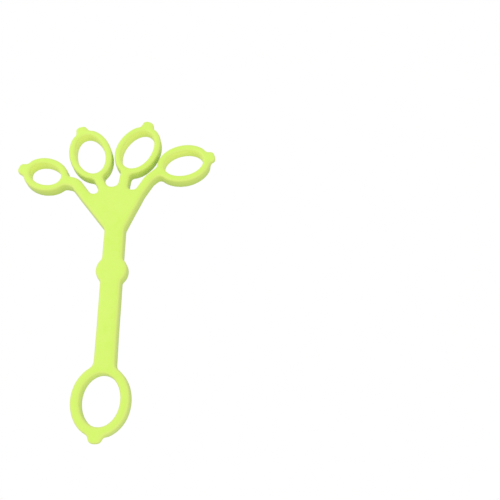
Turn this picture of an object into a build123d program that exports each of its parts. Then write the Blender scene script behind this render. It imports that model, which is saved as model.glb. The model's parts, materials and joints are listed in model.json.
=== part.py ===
from build123d import *
import os
from dataclasses import dataclass
from math import atan2, cos, degrees, hypot, pi, radians, sin, sqrt, tan

# Finger exerciser: one flat silicone moulding. A palm web fans out into four arms,
# each with an oval finger loop. A strap with a round grip knob runs down to the
# larger thumb loop. Millimetres. +Z is up from the rest face, +Y points from the
# thumb loop to the finger loops, and the origin is below the centre of the knob.

# Moulding
body_height = 7.0
top_edge_radius = 1.7
bottom_edge_radius = 0.4

# Strap and knob
strap_width = 10.8
knob_diameter = 16.4
knob_fillet = 2.0
knob_seat = 1.0

# Lengths along the strap, from the knob down to the thumb loop
lower_flex_length = 10.0
middle_length = 4.5
stretch_length = 15.0
end_length = 4.5
thumb_neck_length = 8.4
thumb_neck_inset = 0.8

# Thumb loop
thumb_half_length = 17.5
thumb_half_width = 14.5
thumb_band = 4.6
thumb_side_shift = -0.8
thumb_fillet = 4.0

# Palm web
web_base_y = 24.0
web_base_fillet = 5.0
little_slot_floor = 45.4
centre_slot_floor = 50.4
index_slot_floor = 48.3
little_slot_fillet = 2.2
centre_slot_fillet = 3.3
index_slot_fillet = 2.4
slot_room_share = 0.97

# Pull tabs at the far end of each loop
tab_width = 7.4
tab_reach = 2.9
tab_thickness = 4.0
tab_drop = 0.2
tab_corner_radius = 3.0
tab_edge_radius = 0.8
tab_overlap_share = 0.6
thumb_tab_side_shift = -1.0

# Arms, and where they run into their loops
arm_bend_radius = 6.5
loop_fillet = 2.6
neck_inset = 1.2

# Cutting the body into its regions
upper_strap_setback = 2.0
root_neck_reach = 2.2
region_margin = 0.6
cutter_size = 200.0

# Finding edges
same_place = 0.01
inner_corner_share = 0.53
thinnest_wall_share = 0.47


@dataclass
class Finger:
    """One finger's arm and loop. Angles are counter-clockwise from +X, in degrees."""

    name: str
    loop_centre: tuple
    loop_angle: float
    half_length: float
    half_width: float
    band: float
    root: tuple
    bend: tuple | None
    arm_width: float
    root_neck_length: float
    loop_neck_length: float
    tab_side_shift: float


fingers = [
    Finger(
        name="little", loop_centre=(-41.5, 59.2), loop_angle=158.8,
        half_length=13.2, half_width=10.5, band=3.9,
        root=(-17.3, 44.5), bend=(-24.2, 53.7), arm_width=6.0,
        root_neck_length=4.5, loop_neck_length=7.0, tab_side_shift=1.1,
    ),
    Finger(
        name="ring", loop_centre=(-17.0, 72.1), loop_angle=108.8,
        half_length=17.1, half_width=12.0, band=3.8,
        root=(-8.0, 49.0), bend=None, arm_width=5.2,
        root_neck_length=2.8, loop_neck_length=4.2, tab_side_shift=0.8,
    ),
    Finger(
        name="middle", loop_centre=(10.1, 74.6), loop_angle=66.8,
        half_length=16.9, half_width=12.3, band=3.8,
        root=(2.7, 50.6), bend=None, arm_width=5.6,
        root_neck_length=3.2, loop_neck_length=4.5, tab_side_shift=1.7,
    ),
    Finger(
        name="index", loop_centre=(36.9, 64.9), loop_angle=15.8,
        half_length=15.4, half_width=12.1, band=4.1,
        root=(12.4, 46.9), bend=(17.3, 55.2), arm_width=5.4,
        root_neck_length=4.5, loop_neck_length=7.0, tab_side_shift=-0.3,
    ),
]


def along(point, angle, distance, aside=0.0):
    """The point moved by a distance at an angle, and aside to the left of that direction."""
    c, s = cos(radians(angle)), sin(radians(angle))
    return (point[0] + distance * c - aside * s, point[1] + distance * s + aside * c)


def heading(start, end):
    return degrees(atan2(end[1] - start[1], end[0] - start[0]))


def near_end(finger):
    return along(finger.loop_centre, finger.loop_angle, -finger.half_length)


def neck_end(finger):
    """On the loop's axis, where the loop neck ends just inside the loop's band."""
    return along(near_end(finger), finger.loop_angle, neck_inset)


def neck_start(finger):
    return along(neck_end(finger), finger.loop_angle, -finger.loop_neck_length)


def first_turn(finger):
    """The point that the arm heads for from its root."""
    return finger.bend or near_end(finger)


def root_angle(finger):
    return heading(finger.root, first_turn(finger))


# Places along the strap
knob_reach = knob_diameter / 2 + knob_seat
upper_strap_top = web_base_y - upper_strap_setback
lower_flex_end = -knob_reach - lower_flex_length
middle_end = lower_flex_end - middle_length
stretch_end = middle_end - stretch_length
strap_end_y = stretch_end - end_length
thumb_neck_end = strap_end_y - thumb_neck_length
thumb_centre = (thumb_side_shift, thumb_neck_end - thumb_half_length + thumb_neck_inset)

little, ring, middle, index = fingers


def web_outline():
    """The palm web: strap corners, the outer arms' roots, and the floors of the three slots."""
    half = strap_width / 2
    return Polygon(
        (half, web_base_y),
        along(index.root, root_angle(index), 0, -index.arm_width / 2),
        along(index.root, root_angle(index), 0, index.arm_width / 2),
        (middle.root[0], index_slot_floor),
        (middle.root[0], centre_slot_floor),
        (ring.root[0], centre_slot_floor),
        (ring.root[0], little_slot_floor),
        along(little.root, root_angle(little), 0, -little.arm_width / 2),
        along(little.root, root_angle(little), 0, little.arm_width / 2),
        (-half, web_base_y),
        align=None,
    )


def oval(centre, angle, half_length, half_width):
    return Pos(*centre) * Rot(0, 0, angle) * Ellipse(half_length, half_width)


def arm_outline(finger, start_back, widening=0.0):
    """The arm from its root, round its bend and into the loop's band."""
    width = finger.arm_width + widening
    start = along(finger.root, root_angle(finger), -start_back)
    target = along(near_end(finger), finger.loop_angle, finger.band / 2)
    if finger.bend is None:
        path = Line(start, target)
    else:
        path = FilletPolyline(start, finger.bend, target, radius=arm_bend_radius)
    return trace(path, width) + Pos(*target) * Circle(width / 2)


def block(outline):
    return extrude(outline, amount=body_height, dir=(0, 0, 1))


def thumb_band_height(across):
    """How far above the thumb loop's centre the middle of its band runs, at a distance across."""
    length = thumb_half_length - thumb_band / 2
    width = thumb_half_width - thumb_band / 2
    return length * sqrt(1 - (across / width) ** 2)


def sharp_moulding():
    """The whole plan at full height, before any edge is rounded."""
    bottom = thumb_centre[1] + thumb_band_height(strap_width / 2 + abs(thumb_side_shift))
    length = web_base_y - bottom
    solid = block(web_outline())
    solid += block(Pos(0, bottom + length / 2) * Rectangle(strap_width, length))
    solid += block(Circle(knob_diameter / 2))
    solid += block(oval(thumb_centre, 90, thumb_half_length, thumb_half_width))
    for finger in fingers:
        tongue = finger in (ring, middle)
        solid += block(arm_outline(finger, finger.arm_width if tongue else 0.0))
        solid += block(oval(finger.loop_centre, finger.loop_angle, finger.half_length, finger.half_width))
    solid -= block(oval(thumb_centre, 90, thumb_half_length - thumb_band, thumb_half_width - thumb_band))
    for finger in fingers:
        length, width = finger.half_length - finger.band, finger.half_width - finger.band
        solid -= block(oval(finger.loop_centre, finger.loop_angle, length, width))
    return solid.solid()


def upright_edges(solid):
    """The straight edges that run the whole height."""
    found = []
    for edge in solid.edges():
        ends = edge.bounding_box().size
        if ends.Z > body_height - same_place and ends.X < same_place and ends.Y < same_place:
            found.append(edge)
    return found


def inside_share(solid, edge, radius=0.25, samples=48):
    """The share of a small circle about an upright edge that lies in the solid."""
    middle_point = edge.center()
    inside = 0
    for step in range(samples):
        turn = 2 * pi * (step + 0.5) / samples
        x = middle_point.X + radius * cos(turn)
        y = middle_point.Y + radius * sin(turn)
        inside += solid.is_inside(Vector(x, y, body_height / 2))
    return inside / samples


def arm_side(finger, floor, side):
    """The x of an arm's left (+1) or right (-1) side, level with a slot's floor."""
    angle = root_angle(finger)
    x, y = along(finger.root, angle, 0, side * finger.arm_width / 2)
    return x + (floor - y) / tan(radians(angle))


def slot_fillet(left, right, floor, wanted):
    """The fillet at a slot's floor, no larger than the floor between the two arms has room for."""
    width = arm_side(right, floor, 1) - arm_side(left, floor, -1)
    left_share = 1 / tan(radians(root_angle(left) / 2))
    right_share = 1 / tan(radians((180 - root_angle(right)) / 2))
    return min(wanted, slot_room_share * width / (left_share + right_share))


def corner_radius(point):
    """The fillet for an inner corner of the plan, by the feature that it belongs to."""
    if point.Y < thumb_neck_end + thumb_fillet:
        return thumb_fillet
    if abs(point.Y) < knob_diameter:
        return knob_fillet
    if point.Y < (web_base_y + little_slot_floor) / 2:
        return web_base_fillet
    for finger in fingers:
        x, y = finger.loop_centre
        if hypot(point.X - x, point.Y - y) < finger.half_length + finger.band:
            return loop_fillet
    if point.X < ring.root[0]:
        return slot_fillet(little, ring, little_slot_floor, little_slot_fillet)
    if point.X < middle.root[0]:
        return slot_fillet(ring, middle, centre_slot_floor, centre_slot_fillet)
    return slot_fillet(middle, index, index_slot_floor, index_slot_fillet)


def thinnest_wall():
    """The narrowest width in the plan, which limits how far its edges can be rounded."""
    widths = [strap_width, thumb_band]
    for finger in fingers:
        widths += [finger.band, finger.arm_width]
    return min(widths)


def moulding():
    """The whole body in one piece, with its inner corners and its edges rounded."""
    solid = sharp_moulding()
    inner = [edge for edge in upright_edges(solid) if inside_share(solid, edge) > inner_corner_share]
    corners = [(edge.center(), corner_radius(edge.center())) for edge in inner]
    for radius in sorted({radius for _, radius in corners}):
        spots = [spot for spot, own_radius in corners if own_radius == radius]
        chosen = [
            edge
            for edge in upright_edges(solid)
            if any((edge.center() - spot).length < same_place for spot in spots)
        ]
        solid = solid.fillet(radius, chosen)
    rim_radius = min(top_edge_radius, thinnest_wall_share * thinnest_wall())
    solid = solid.fillet(rim_radius, solid.faces().sort_by(Axis.Z)[-1].edges())
    return solid.fillet(bottom_edge_radius, solid.faces().sort_by(Axis.Z)[0].edges())


def tall(outline):
    """A cutter over an outline, taller than the body on both sides."""
    return extrude(Pos(0, 0, -1) * outline, amount=body_height + 2, dir=(0, 0, 1))


def strip(point, angle, start, end, half_width):
    """A rectangle along an angle from a point, between two distances."""
    middle_point = along(point, angle, (start + end) / 2)
    return Pos(*middle_point) * Rot(0, 0, angle) * Rectangle(end - start, 2 * half_width)


def finger_outline(finger):
    """An outline round one finger's arm and loop that stays clear of the other fingers."""
    gusset = finger.arm_width / 2 + loop_fillet + region_margin
    outline = arm_outline(finger, 0.0, 2 * root_neck_reach)
    outline += strip(neck_end(finger), finger.loop_angle, -neck_inset, finger.band, gusset)
    length, width = finger.half_length + region_margin, finger.half_width + region_margin
    return outline + oval(finger.loop_centre, finger.loop_angle, length, width)


def cut_beyond(solid, point, angle):
    """Split a solid at an upright plane square to an angle: the near part and the far part."""
    far_half = tall(strip(point, angle, 0, cutter_size, cutter_size))
    return solid - far_half, solid & far_half


def tab(loop, centre, angle, half_length, band, side_shift):
    """The rounded pull tab on a loop's far end, cut to the loop's own surface."""
    overlap = band * tab_overlap_share
    depth = tab_reach + overlap
    base = body_height - tab_drop - tab_thickness
    outline = Rectangle(depth, tab_width)
    far_corners = outline.vertices().sort_by(Axis.X)[-2:]
    outline = fillet(far_corners, tab_corner_radius)
    pad = extrude(outline, amount=tab_thickness)
    rims = pad.faces().sort_by(Axis.Z)[-1].edges() + pad.faces().sort_by(Axis.Z)[0].edges()
    rims = [edge for edge in rims if edge.center().X > same_place - depth / 2]
    pad = fillet(rims, tab_edge_radius)
    place = along(centre, angle, half_length - overlap + depth / 2, side_shift)
    return Pos(*place, base) * Rot(0, 0, angle) * pad - loop


def finger_parts(finger, body):
    """One finger's share of the body, cut into its five named regions."""
    name = finger.name
    arm_angle = root_angle(finger)
    arm_start = along(finger.root, arm_angle, finger.root_neck_length)
    parts = {}
    parts[name + "_root_neck"], rest = cut_beyond(body, arm_start, arm_angle)
    parts[name + "_arm"], rest = cut_beyond(rest, neck_start(finger), finger.loop_angle)
    parts[name + "_loop_neck"], loop = cut_beyond(rest, neck_end(finger), finger.loop_angle)
    parts[name + "_loop"] = loop
    parts[name + "_tab"] = tab(
        loop, finger.loop_centre, finger.loop_angle, finger.half_length, finger.band, finger.tab_side_shift
    )
    return parts


def strap_parts(body):
    """The strap, knob and thumb loop, cut across from the web downwards."""
    cuts = {
        "upper_strap": knob_reach,
        "grip_knob": -knob_reach,
        "strap_flex_section": lower_flex_end,
        "strap_middle": middle_end,
        "strap_stretch_section": stretch_end,
        "strap_end": strap_end_y,
        "thumb_neck": thumb_neck_end,
    }
    parts = {}
    rest = body
    for name, end_y in cuts.items():
        parts[name], rest = cut_beyond(rest, (0, end_y), -90)
    parts["thumb_loop"] = rest
    parts["thumb_tab"] = tab(rest, thumb_centre, -90, thumb_half_length, thumb_band, thumb_tab_side_shift)
    return parts


def all_parts():
    body = moulding()
    web, strap = cut_beyond(body, (0, upper_strap_top), -90)
    parts = {}
    for finger in fingers:
        cutter = tall(finger_outline(finger))
        parts.update(finger_parts(finger, web & cutter))
        web -= cutter
    parts["palm_web"] = web
    parts.update(strap_parts(strap))
    return parts


os.makedirs("parts", exist_ok=True)
for node, shape in all_parts().items():
    export_step(shape, f"parts/{node}.step")
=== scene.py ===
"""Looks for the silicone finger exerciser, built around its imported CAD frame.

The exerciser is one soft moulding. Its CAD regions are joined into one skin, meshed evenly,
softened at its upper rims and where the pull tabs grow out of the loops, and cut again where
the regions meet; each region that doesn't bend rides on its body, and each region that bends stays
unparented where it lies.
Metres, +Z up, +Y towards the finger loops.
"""

import json
import math

import bmesh
import bpy
import numpy as np
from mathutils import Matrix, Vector, noise
from mathutils.bvhtree import BVHTree

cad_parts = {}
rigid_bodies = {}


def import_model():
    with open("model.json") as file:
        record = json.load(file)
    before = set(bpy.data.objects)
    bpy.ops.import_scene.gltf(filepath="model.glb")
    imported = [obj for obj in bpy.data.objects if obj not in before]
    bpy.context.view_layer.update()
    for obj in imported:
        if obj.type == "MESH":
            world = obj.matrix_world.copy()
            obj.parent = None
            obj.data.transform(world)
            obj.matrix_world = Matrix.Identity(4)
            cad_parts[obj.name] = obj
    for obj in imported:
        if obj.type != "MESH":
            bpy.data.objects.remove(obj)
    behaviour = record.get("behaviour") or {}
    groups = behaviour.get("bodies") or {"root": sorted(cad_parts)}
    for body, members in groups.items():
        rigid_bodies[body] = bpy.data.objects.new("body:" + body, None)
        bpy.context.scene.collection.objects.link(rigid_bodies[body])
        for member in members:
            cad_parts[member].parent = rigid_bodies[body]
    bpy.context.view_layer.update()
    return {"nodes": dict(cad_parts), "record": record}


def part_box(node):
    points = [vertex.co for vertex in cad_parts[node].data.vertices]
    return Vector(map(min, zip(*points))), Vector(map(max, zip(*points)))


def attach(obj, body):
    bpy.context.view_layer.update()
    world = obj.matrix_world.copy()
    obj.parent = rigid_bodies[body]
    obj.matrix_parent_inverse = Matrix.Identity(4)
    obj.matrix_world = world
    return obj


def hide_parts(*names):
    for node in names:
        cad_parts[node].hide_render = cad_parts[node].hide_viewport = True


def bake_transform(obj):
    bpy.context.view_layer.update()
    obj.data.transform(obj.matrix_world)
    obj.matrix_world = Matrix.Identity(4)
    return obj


MM = 0.001

# Contacts: how far apart two regions' faces may lie, how squarely they have to face each
# other, and how square to a direction a face has to be
SHARED_GAP = 0.03 * MM
FACING = -0.8
SQUARE = 0.97

# Skin: the size of its quads, and the softening of the tabs' roots and of the upper rims
VOXEL = 0.36 * MM
TAB_BLEND = 3.4 * MM
TOP_SOFTNESS = 0.15
SOFT_FROM = 2.0 * MM
SOFT_TO = 5.0 * MM
RELAX_STEPS = 80
RELAX_SHARE = 0.6

# Skin: what the softening takes off is put back, then it wanders a little sideways
FULLNESS = 0.08 * MM
SIDEWAYS = (1, 1, 0)
WARP_HEIGHT = 0.14 * MM
WARP_LENGTH = 17 * MM
WARP_OFFSET = Vector((31.4, 7.7, 2.2))

# Cuts between regions
CUT_MARGIN = 1.6 * MM
CUT_DEPTH = 1.0 * MM
SNAP = 0.09 * MM
TOUCHING = 0.001 * MM
VOTES = 60

# A neck shorter than this is counted as bending together with the arm before it
SHORTEST_BEND = 5.7 * MM

# How far the painted glow on the thumb loop's inner wall goes, against 1 for the thinner finger loops
THUMB_PAINTED_GLOW = 0.3

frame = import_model()
behaviour = frame["record"]["behaviour"]
body_of = {node: body for body, nodes in behaviour["bodies"].items() for node in nodes}


# ---------------------------------------------------------------- reading the CAD regions


def face_table(mesh):
    """Centres, normals and areas of a mesh's faces."""
    count = len(mesh.polygons)
    centres, normals, areas = np.zeros(count * 3), np.zeros(count * 3), np.zeros(count)
    mesh.polygons.foreach_get("center", centres)
    mesh.polygons.foreach_get("normal", normals)
    mesh.polygons.foreach_get("area", areas)
    return centres.reshape(-1, 3), normals.reshape(-1, 3), areas


def surface_tree(mesh):
    return BVHTree.FromPolygons([v.co for v in mesh.vertices], [p.vertices for p in mesh.polygons])


class Regions:
    """The faces of every CAD node in one list, with the node that each belongs to."""

    def __init__(self, nodes):
        self.vertices, self.polygons, self.owners = [], [], []
        tables = []
        for name, obj in nodes.items():
            start = len(self.vertices)
            self.vertices += [v.co.copy() for v in obj.data.vertices]
            self.polygons += [[start + i for i in p.vertices] for p in obj.data.polygons]
            self.owners += [name] * len(obj.data.polygons)
            tables.append(face_table(obj.data))
        self.centres, self.normals, self.areas = (np.concatenate(part) for part in zip(*tables))
        self.tree = BVHTree.FromPolygons(self.vertices, self.polygons)
        self.contacts = self.find_contacts()

    def find_contacts(self):
        """For each ordered pair of regions that meet: the first one's faces against the second."""
        contacts = {}
        for number, owner in enumerate(self.owners):
            normal = Vector(self.normals[number])
            near = self.tree.find_nearest_range(Vector(self.centres[number]), SHARED_GAP)
            for _, other_normal, other, _ in near:
                if self.owners[other] != owner and normal.dot(other_normal) < FACING:
                    contacts.setdefault((owner, self.owners[other]), []).append(number)
                    break
        return contacts

    def contact_plane(self, pair, along=None):
        """Centre, normal and half width of the contact between two regions.
        With along given, only the faces square to that direction count."""
        faces = np.array(self.contacts[pair])
        centres, normals, areas = self.centres[faces], self.normals[faces], self.areas[faces]
        if along is not None:
            square = np.abs(normals @ np.array(along)) > SQUARE
            centres, normals, areas = centres[square], normals[square], areas[square]
        centre = (centres * areas[:, None]).sum(0) / areas.sum()
        normal = (normals * areas[:, None]).sum(0)
        normal[2] = 0
        normal /= np.linalg.norm(normal)
        across = np.array((-normal[1], normal[0]))
        half_width = np.abs((centres - centre)[:, :2] @ across).max()
        return Vector(centre), Vector(normal), half_width

    def neighbours(self, node):
        return [b for a, b in self.contacts if a == node]


# ---------------------------------------------------------------- one even skin


def joined_skin(regions):
    """All regions in one mesh, without the faces that lie between them."""
    inner = {number for faces in regions.contacts.values() for number in faces}
    kept = [p for number, p in enumerate(regions.polygons) if number not in inner]
    mesh = bpy.data.meshes.new("joined_skin")
    mesh.from_pydata(regions.vertices, [], kept)
    return mesh


def evenly_meshed(mesh):
    """The same surface in quads of one size."""
    obj = bpy.data.objects.new("even_skin", mesh)
    bpy.context.scene.collection.objects.link(obj)
    remesh = obj.modifiers.new("even", "REMESH")
    remesh.mode = "VOXEL"
    remesh.voxel_size = VOXEL
    evaluated = obj.evaluated_get(bpy.context.evaluated_depsgraph_get())
    result = bpy.data.meshes.new_from_object(evaluated)
    bpy.data.objects.remove(obj)
    return result


def points_of(mesh):
    flat = np.zeros(len(mesh.vertices) * 3)
    mesh.vertices.foreach_get("co", flat)
    return flat.reshape(-1, 3)


def relaxed(points, mesh, weights, steps):
    """Each point moves towards the mean of its neighbours, by its own weight."""
    ends = np.zeros(len(mesh.edges) * 2, np.int32)
    mesh.edges.foreach_get("vertices", ends)
    first, second = ends[0::2], ends[1::2]
    count = np.bincount(ends, minlength=len(points))[:, None]
    for _ in range(steps):
        total = np.zeros_like(points)
        for axis in range(3):
            total[:, axis] += np.bincount(first, points[second, axis], len(points))
            total[:, axis] += np.bincount(second, points[first, axis], len(points))
        points = points + RELAX_SHARE * weights[:, None] * (total / count - points)
    return points


def smoothly(share):
    return share * share * (3 - 2 * share)


def tab_weights(points, regions):
    """1 where a pull tab grows out of its loop, falling to 0 at TAB_BLEND from there."""
    weights = np.zeros(len(points))
    for tab, loop in regions.contacts:
        if not tab.endswith("_tab"):
            continue
        trees = [surface_tree(frame["nodes"][name].data) for name in (tab, loop)]
        low, high = (np.array(corner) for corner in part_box(tab))
        near = np.all((points > low - TAB_BLEND) & (points < high + TAB_BLEND), axis=1)
        for i in np.flatnonzero(near):
            away = max(tree.find_nearest(Vector(points[i]))[3] for tree in trees)
            weights[i] = smoothly(max(0.0, 1 - away / TAB_BLEND))
    return weights


def top_weights(points):
    """A light softening of the upper half, where the moulding's rims are fullest."""
    share = np.clip((points[:, 2] - SOFT_FROM) / (SOFT_TO - SOFT_FROM), 0, 1)
    return TOP_SOFTNESS * smoothly(share)


def wandering(points):
    """A slow sideways wander, as a soft moulding has."""
    moved = points.copy()
    for i, (x, y, _) in enumerate(points):
        spot = Vector((x, y, 0)) / WARP_LENGTH
        moved[i, 0] += WARP_HEIGHT * noise.noise(spot)
        moved[i, 1] += WARP_HEIGHT * noise.noise(spot + WARP_OFFSET)
    return moved


def whole_skin(regions):
    """The finished moulding before it is cut, with its smooth normals kept on its points."""
    mesh = evenly_meshed(joined_skin(regions))
    points = points_of(mesh)
    weights = np.maximum(tab_weights(points, regions), top_weights(points))
    points = relaxed(points, mesh, weights, RELAX_STEPS)
    mesh.vertices.foreach_set("co", points.ravel())
    mesh.update()
    normals = np.zeros(len(points) * 3)
    mesh.vertices.foreach_get("normal", normals)
    sideways = normals.reshape(-1, 3) * SIDEWAYS
    points = wandering(points + FULLNESS * sideways)
    mesh.vertices.foreach_set("co", points.ravel())
    mesh.update()
    kept = mesh.attributes.new("moulded_normal", "FLOAT_VECTOR", "POINT")
    kept.data.foreach_set("vector", normals)
    return mesh


# ---------------------------------------------------------------- cutting it into pieces


def cut_planes(regions):
    """Where the skin is opened: one plane for each pair of regions that meet."""
    planes = {}
    for a, b in regions.contacts:
        if (b, a) in planes:
            continue
        along = None
        neck = next((name for name in (a, b) if name.endswith("_root_neck")), None)
        if neck:
            arm = neck.replace("_root_neck", "_arm")
            along = regions.contact_plane((neck, arm))[1]
        planes[a, b] = regions.contact_plane((a, b), along)
    return planes


def plane_between(planes, a, b):
    return planes.get((a, b)) or planes[b, a]


def faces_near(centres, plane):
    """The numbers of the faces close to a cut."""
    centre, normal, half_width = plane
    offsets = centres - np.array(centre)
    depth = np.abs(offsets @ np.array(normal))
    across = np.hypot(offsets[:, 0], offsets[:, 1])
    return np.flatnonzero((depth < CUT_DEPTH) & (across < half_width + CUT_MARGIN))


def opened(mesh, planes):
    """The skin as a bmesh, split along every plane."""
    centres = face_table(mesh)[0]
    skin = bmesh.new()
    skin.from_mesh(mesh)
    skin.faces.ensure_lookup_table()
    jobs = []
    for plane in planes.values():
        jobs.append((plane, [skin.faces[i] for i in faces_near(centres, plane)]))
    for (centre, normal, _), faces in jobs:
        edges = list({edge for face in faces for edge in face.edges})
        vertices = list({vertex for face in faces for vertex in face.verts})
        cut = bmesh.ops.bisect_plane(
            skin,
            geom=faces + edges + vertices,
            dist=SNAP,
            plane_co=centre,
            plane_no=normal,
            use_snap_center=True,
        )
        on_plane = [item for item in cut["geom_cut"] if isinstance(item, bmesh.types.BMEdge)]
        seam = [edge for edge in on_plane if crosses(edge, centre, normal)]
        bmesh.ops.split_edges(skin, edges=seam)
    return skin


def crosses(edge, centre, normal):
    """Whether an edge on a cut has a face on each side of it."""
    sides = {normal.dot(face.calc_center_median() - centre) > TOUCHING for face in edge.link_faces}
    return len(sides) == 2


def loose_parts(skin):
    """The faces of the skin, one list for each part that hangs together."""
    seen, parts = set(), []
    for start in skin.faces:
        if start in seen:
            continue
        seen.add(start)
        part, waiting = [], [start]
        while waiting:
            face = waiting.pop()
            part.append(face)
            for edge in face.edges:
                for other in edge.link_faces:
                    if other not in seen:
                        seen.add(other)
                        waiting.append(other)
        parts.append(part)
    return parts


def region_under(part, regions):
    """The CAD region that most of a part lies on."""
    votes = {}
    for face in part[:: max(1, len(part) // VOTES)]:
        number = regions.tree.find_nearest(face.calc_center_median())[2]
        owner = regions.owners[number]
        votes[owner] = votes.get(owner, 0) + 1
    return max(votes, key=votes.get)


def inward(normal, place, middle):
    """How squarely a wall looks towards the middle of its loop, from 0 to 1."""
    way = (middle - place).xy
    return max(0.0, normal.xy.dot(way.normalized()))


def mark(mesh, node, places, normals):
    """Keep on each point what the material needs: its place at rest, how far its surface looks up,
    and how far it looks in towards the middle of its loop times that loop's painted glow;
    the material paints highlight, shade and glow from these."""
    at_rest = mesh.attributes.new("at_rest", "FLOAT_VECTOR", "POINT")
    at_rest.data.foreach_set("vector", [value for place in places for value in place])
    facing_up = mesh.attributes.new("facing_up", "FLOAT", "POINT")
    facing_up.data.foreach_set("value", [normal.z for normal in normals])
    facing_in = mesh.attributes.new("facing_in", "FLOAT", "POINT")
    if node.endswith("_loop"):
        middle = sum(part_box(node), Vector()) / 2
        # the share of painted glow on this loop's inner walls
        painted_glow = THUMB_PAINTED_GLOW if node == "thumb_loop" else 1.0
        shares = [painted_glow * inward(normal, place, middle) for normal, place in zip(normals, places)]
        facing_in.data.foreach_set("value", shares)


def closed_mesh(part, node, normal_layer):
    """One part as a closed mesh that keeps the whole skin's normals, so that no seam shows."""
    numbers = {}
    for face in part:
        for vertex in face.verts:
            numbers.setdefault(vertex, len(numbers))
    piece = bmesh.new()
    made = [piece.verts.new(vertex.co) for vertex in numbers]
    for face in part:
        piece.faces.new([made[numbers[vertex]] for vertex in face.verts]).smooth = True
    rims = [edge for edge in piece.edges if edge.is_boundary]
    bmesh.ops.holes_fill(piece, edges=rims, sides=0)
    mesh = bpy.data.meshes.new(node + "_skin")
    piece.to_mesh(mesh)
    piece.free()
    skin_normals = [vertex[normal_layer].copy() for vertex in numbers]
    mark(mesh, node, [vertex.co for vertex in numbers], skin_normals)
    corner_normals = []
    for polygon in mesh.polygons:
        for i in polygon.vertices:
            corner_normals.append(skin_normals[i] if polygon.use_smooth else polygon.normal)
    mesh.normals_split_custom_set(corner_normals)
    return mesh


def bends(regions, planes):
    """For each region that bends: the joint's two bodies, and where the bend starts and ends."""
    found = {}
    for joint in behaviour["joints"]:
        parent, child = joint["parent"], joint["child"]
        neck = joint["deforming_nodes"][0]["node"]
        beyond = next(b for b in regions.neighbours(neck) if body_of[b] == child)
        before = next(b for b in regions.neighbours(neck) if b != beyond)
        start = plane_between(planes, before, neck)[0]
        end, normal, _ = plane_between(planes, neck, beyond)
        way = normal if normal.dot(end - start) > 0 else -normal
        length = way.dot(end - start)
        bent = [neck]
        if length < SHORTEST_BEND and before.endswith("_arm"):
            length = SHORTEST_BEND
            bent.append(before)
        for node in bent:
            found[node] = (parent, child, end - way * length, end)
    return found


def moulded_pieces(regions):
    """Every region of the exerciser as its own piece, on its body, or, if it bends, left unparented in
    place.
    """
    planes = cut_planes(regions)
    bending = bends(regions, planes)
    skin = opened(whole_skin(regions), planes)
    normal_layer = skin.verts.layers.float_vector["moulded_normal"]
    material = silicone()
    for part in loose_parts(skin):
        node = region_under(part, regions)
        mesh = closed_mesh(part, node, normal_layer)
        mesh.materials.append(material)
        piece = bpy.data.objects.new(node + "_skin", mesh)
        bpy.context.scene.collection.objects.link(piece)
        if node in bending:
            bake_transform(piece)
        else:
            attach(piece, body_of[node])
        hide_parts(node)
    skin.free()


# ---------------------------------------------------------------- silicone


class Nodes:
    """A short way to add and link shader nodes."""

    def __init__(self, tree):
        self.tree = tree

    def add(self, kind, **settings):
        node = self.tree.nodes.new(kind)
        for name, value in settings.items():
            if hasattr(node, name):
                setattr(node, name, value)
            else:
                node.inputs[name.replace("_", " ")].default_value = value
        return node

    def link(self, source, target):
        self.tree.links.new(source, target)

    def noise(self, place, scale, detail=2.0, roughness=0.5):
        node = self.add("ShaderNodeTexNoise", Scale=scale, Detail=detail, Roughness=roughness)
        self.link(place, node.inputs["Vector"])
        return node.outputs["Fac"]

    def ramp(self, value, low, high, to_low=0.0, to_high=1.0):
        node = self.add("ShaderNodeMapRange", clamp=True)
        self.link(value, node.inputs["Value"])
        for name, number in zip(("From Min", "From Max", "To Min", "To Max"), (low, high, to_low, to_high)):
            node.inputs[name].default_value = number
        return node.outputs["Result"]

    def mix(self, factor, first, second):
        node = self.add("ShaderNodeMix", data_type="RGBA")
        self.link(factor, node.inputs[0])
        for socket, colour in ((node.inputs[6], first), (node.inputs[7], second)):
            if isinstance(colour, tuple):
                socket.default_value = colour
            else:
                self.link(colour, socket)
        return node.outputs[2]

    def times(self, first, second):
        node = self.add("ShaderNodeMath", operation="MULTIPLY")
        self.link(first, node.inputs[0])
        if isinstance(second, float):
            node.inputs[1].default_value = second
        else:
            self.link(second, node.inputs[1])
        return node.outputs[0]


def linear(red, green, blue):
    """A colour given as screen values from 0 to 255."""

    def channel(value):
        value /= 255
        return value / 12.92 if value <= 0.04045 else ((value + 0.055) / 1.055) ** 2.4

    return channel(red), channel(green), channel(blue), 1.0


# Tints: lime patches and dust specks, and painted light and shade (a painted highlight on the rims, painted
# shade on the walls and at their foot, a painted glow on the loops' inner walls)
LIME = linear(212, 243, 105)
DEEP_LIME = linear(207, 240, 94)
PALE_LIME = linear(216, 243, 116)
# The next four are painted light: rim highlight, wall shade, inner-wall glow and olive foot shade
RIM_HIGHLIGHT_LIME = linear(224, 243, 125)
WALL_SHADE_LIME = linear(208, 230, 106)
INNER_GLOW_LIME = linear(232, 250, 119)
FOOT_SHADE_OLIVE = linear(181, 207, 90)
SPECK = linear(150, 172, 70)

# The most of each tint that is mixed in
MOTTLE_SHARE = 0.7
CLOUD_SHARE = 0.35
# Shares of the painted rim highlight and of the olive painted shade at the walls' foot
RIM_HIGHLIGHT_SHARE = 0.8
FOOT_SHADE_SHARE = 0.8
INNER_FOOT_SHADE_SHARE = 0.35
SPECK_SHARE = 0.6

# Where they lie: heights of the skin's normal, the height of the olive painted shade at the walls' foot,
# and the specks' reach
TOP_UP = 0.99
RIM_UP = 0.8
RIM_END_UP = 0.65
WALL_UP = 0.1
WALL_END_UP = -0.4
BASE_UP = -0.95
FOOT_SHADE_HEIGHT = 4.5 * MM
SPECK_REACH = (0.035, 0.06)
SPECKED_CELLS = (0.88, 0.9)

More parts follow.
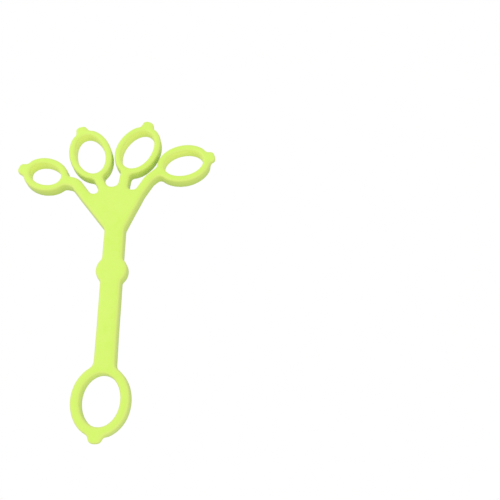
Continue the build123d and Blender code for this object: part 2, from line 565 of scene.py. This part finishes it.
# Pattern scales, per metre
MOTTLE_SCALE = 55
SPECK_SCALE = 210.0
CLOUD_SCALE = 260
GLOSS_SCALE = 420
SWELL_SCALE = 700
GRAIN_SCALE = 5200

# Surface
SILICONE_IOR = 1.42
SHEEN = 0.12
SHEEN_ROUGHNESS = 0.45
SMOOTHEST = 0.5
ROUGHEST = 0.62
GRAIN_DEPTH = 0.03 * MM
SWELL_DEPTH = 0.06 * MM


def mottled(n, place):
    """Lime with slow, faint patches."""
    mottle = n.ramp(n.noise(place, MOTTLE_SCALE, 3.0, 0.55), 0.3, 0.7)
    cloud = n.ramp(n.noise(place, CLOUD_SCALE, 2.0), 0.35, 0.75)
    colour = n.mix(n.times(mottle, MOTTLE_SHARE), LIME, DEEP_LIME)
    return n.mix(n.times(cloud, CLOUD_SHARE), colour, PALE_LIME)


def painted_light_and_shade(n, place, colour):
    """Painted light and shade: a painted highlight on the rims and the underside, painted shade on the
    walls, a painted glow on the loops' inner walls, and olive painted shade towards the foot of the walls.
    """
    up = n.add("ShaderNodeAttribute", attribute_name="facing_up").outputs["Fac"]
    inner = n.add("ShaderNodeAttribute", attribute_name="facing_in").outputs["Fac"]
    # painted highlight: the rims, and the underside, go paler
    rim = n.ramp(up, RIM_UP, TOP_UP, RIM_HIGHLIGHT_SHARE, 0.0)
    below_rim = n.ramp(up, WALL_UP, RIM_END_UP, 1.0, 0.0)
    above_base = n.ramp(up, BASE_UP, WALL_END_UP)
    wall = n.times(below_rim, above_base)
    colour = n.mix(rim, colour, RIM_HIGHLIGHT_LIME)
    # painted shade on the walls, and a painted glow on the loops' inner walls
    colour = n.mix(wall, colour, n.mix(inner, WALL_SHADE_LIME, INNER_GLOW_LIME))

    # painted shade: olive towards the foot of the walls, less of it on the loops' inner walls
    height = n.add("ShaderNodeSeparateXYZ")
    n.link(place, height.inputs[0])
    foot_shade = n.ramp(height.outputs["Z"], 0.0, FOOT_SHADE_HEIGHT, FOOT_SHADE_SHARE, 0.0)
    outer_share = n.ramp(inner, 0.0, 1.0, 1.0, INNER_FOOT_SHADE_SHARE)
    return n.mix(n.times(n.times(foot_shade, wall), outer_share), colour, FOOT_SHADE_OLIVE)


def specked(n, place, colour):
    """A dust speck in the middle of one cell in ten or so."""
    cells = n.add("ShaderNodeTexVoronoi", Scale=SPECK_SCALE)
    n.link(place, cells.inputs["Vector"])
    spot = n.ramp(cells.outputs["Distance"], *SPECK_REACH, 1.0, 0.0)
    cell_shade = n.add("ShaderNodeSeparateColor")
    n.link(cells.outputs["Color"], cell_shade.inputs[0])
    chosen = n.ramp(cell_shade.outputs[0], *SPECKED_CELLS)
    return n.mix(n.times(n.times(spot, chosen), SPECK_SHARE), colour, SPECK)


def relief(n, place):
    """The normal of a fine mould grain on a slow swell."""
    grain = n.noise(place, GRAIN_SCALE, 2.0, 0.6)
    swell = n.noise(place, SWELL_SCALE, 2.0)
    fine = n.add("ShaderNodeBump", Strength=0.35, Distance=GRAIN_DEPTH)
    n.link(grain, fine.inputs["Height"])
    broad = n.add("ShaderNodeBump", Strength=0.3, Distance=SWELL_DEPTH)
    n.link(swell, broad.inputs["Height"])
    n.link(fine.outputs["Normal"], broad.inputs["Normal"])
    return broad.outputs["Normal"]


def silicone():
    """Soft neon-lime silicone: satin, mottled, with painted highlight, shade and glow, and specked, with a
    fine mould grain.
    Patterns and tints follow the skin's place and normal at rest, so no pose breaks them."""
    material = bpy.data.materials.new("lime_silicone")
    material.use_nodes = True
    tree = material.node_tree
    tree.nodes.clear()
    n = Nodes(tree)
    place = n.add("ShaderNodeAttribute", attribute_name="at_rest").outputs["Vector"]
    shader = n.add("ShaderNodeBsdfPrincipled")
    n.link(specked(n, place, painted_light_and_shade(n, place, mottled(n, place))), shader.inputs["Base Color"])
    shader.inputs["IOR"].default_value = SILICONE_IOR
    shader.inputs["Sheen Weight"].default_value = SHEEN
    shader.inputs["Sheen Roughness"].default_value = SHEEN_ROUGHNESS
    gloss = n.ramp(n.noise(place, GLOSS_SCALE, 3.0), 0.3, 0.7, SMOOTHEST, ROUGHEST)
    n.link(gloss, shader.inputs["Roughness"])
    n.link(relief(n, place), shader.inputs["Normal"])
    output = n.add("ShaderNodeOutputMaterial")
    n.link(shader.outputs[0], output.inputs["Surface"])
    return material


# ---------------------------------------------------------------- light and camera

WHITE = (1.0, 1.0, 1.0, 1.0)
SKY_LEVEL = 0.76
OBJECT_MIDDLE = (0, 0, 0)

# Soft boxes: name, place in metres, side in metres, power in watts
SOFT_BOXES = [
    ("key", (-0.45, 0.35, 0.75), 0.6, 2.6),
    ("front_fill", (0.45, -0.6, 0.45), 0.7, 1.4),
]

SENSOR_WIDTH = 36.0
LENS = 44.64
CAMERA_PLACE = (70.9 * MM, -125.7 * MM, 310 * MM)
CAMERA_TILT = math.radians(24)
CAMERA_TURN = math.radians(-1.2)


def sky():
    """An even white surround: paper white to the camera, a little softer as a light."""
    world = bpy.data.worlds.new("studio")
    bpy.context.scene.world = world
    world.use_nodes = True
    n = Nodes(world.node_tree)
    world.node_tree.nodes.clear()
    path = n.add("ShaderNodeLightPath")
    lit = n.add("ShaderNodeBackground", Color=WHITE, Strength=SKY_LEVEL)
    seen = n.add("ShaderNodeBackground", Color=WHITE, Strength=1.0)
    mixed = n.add("ShaderNodeMixShader")
    n.link(path.outputs["Is Camera Ray"], mixed.inputs[0])
    n.link(lit.outputs[0], mixed.inputs[1])
    n.link(seen.outputs[0], mixed.inputs[2])
    output = n.add("ShaderNodeOutputWorld")
    n.link(mixed.outputs[0], output.inputs["Surface"])


def soft_box(name, place, size, power):
    """A square area light aimed at the object."""
    light = bpy.data.lights.new(name, "AREA")
    light.shape = "SQUARE"
    light.size = size
    light.energy = power
    obj = bpy.data.objects.new(name, light)
    obj.location = place
    way = Vector(OBJECT_MIDDLE) - Vector(place)
    obj.rotation_euler = way.to_track_quat("-Z", "Y").to_euler()
    bpy.context.scene.collection.objects.link(obj)


def camera():
    """Above the thumb end and to the right, as the object is seen on its page."""
    data = bpy.data.cameras.new("camera")
    data.sensor_width = SENSOR_WIDTH
    data.lens = LENS
    obj = bpy.data.objects.new("camera", data)
    obj.location = CAMERA_PLACE
    obj.rotation_euler = (CAMERA_TILT, 0, CAMERA_TURN)
    bpy.context.scene.collection.objects.link(obj)
    bpy.context.scene.camera = obj


moulded_pieces(Regions(frame["nodes"]))
sky()
for settings in SOFT_BOXES:
    soft_box(*settings)
camera()
bpy.context.scene.view_settings.view_transform = "Standard"
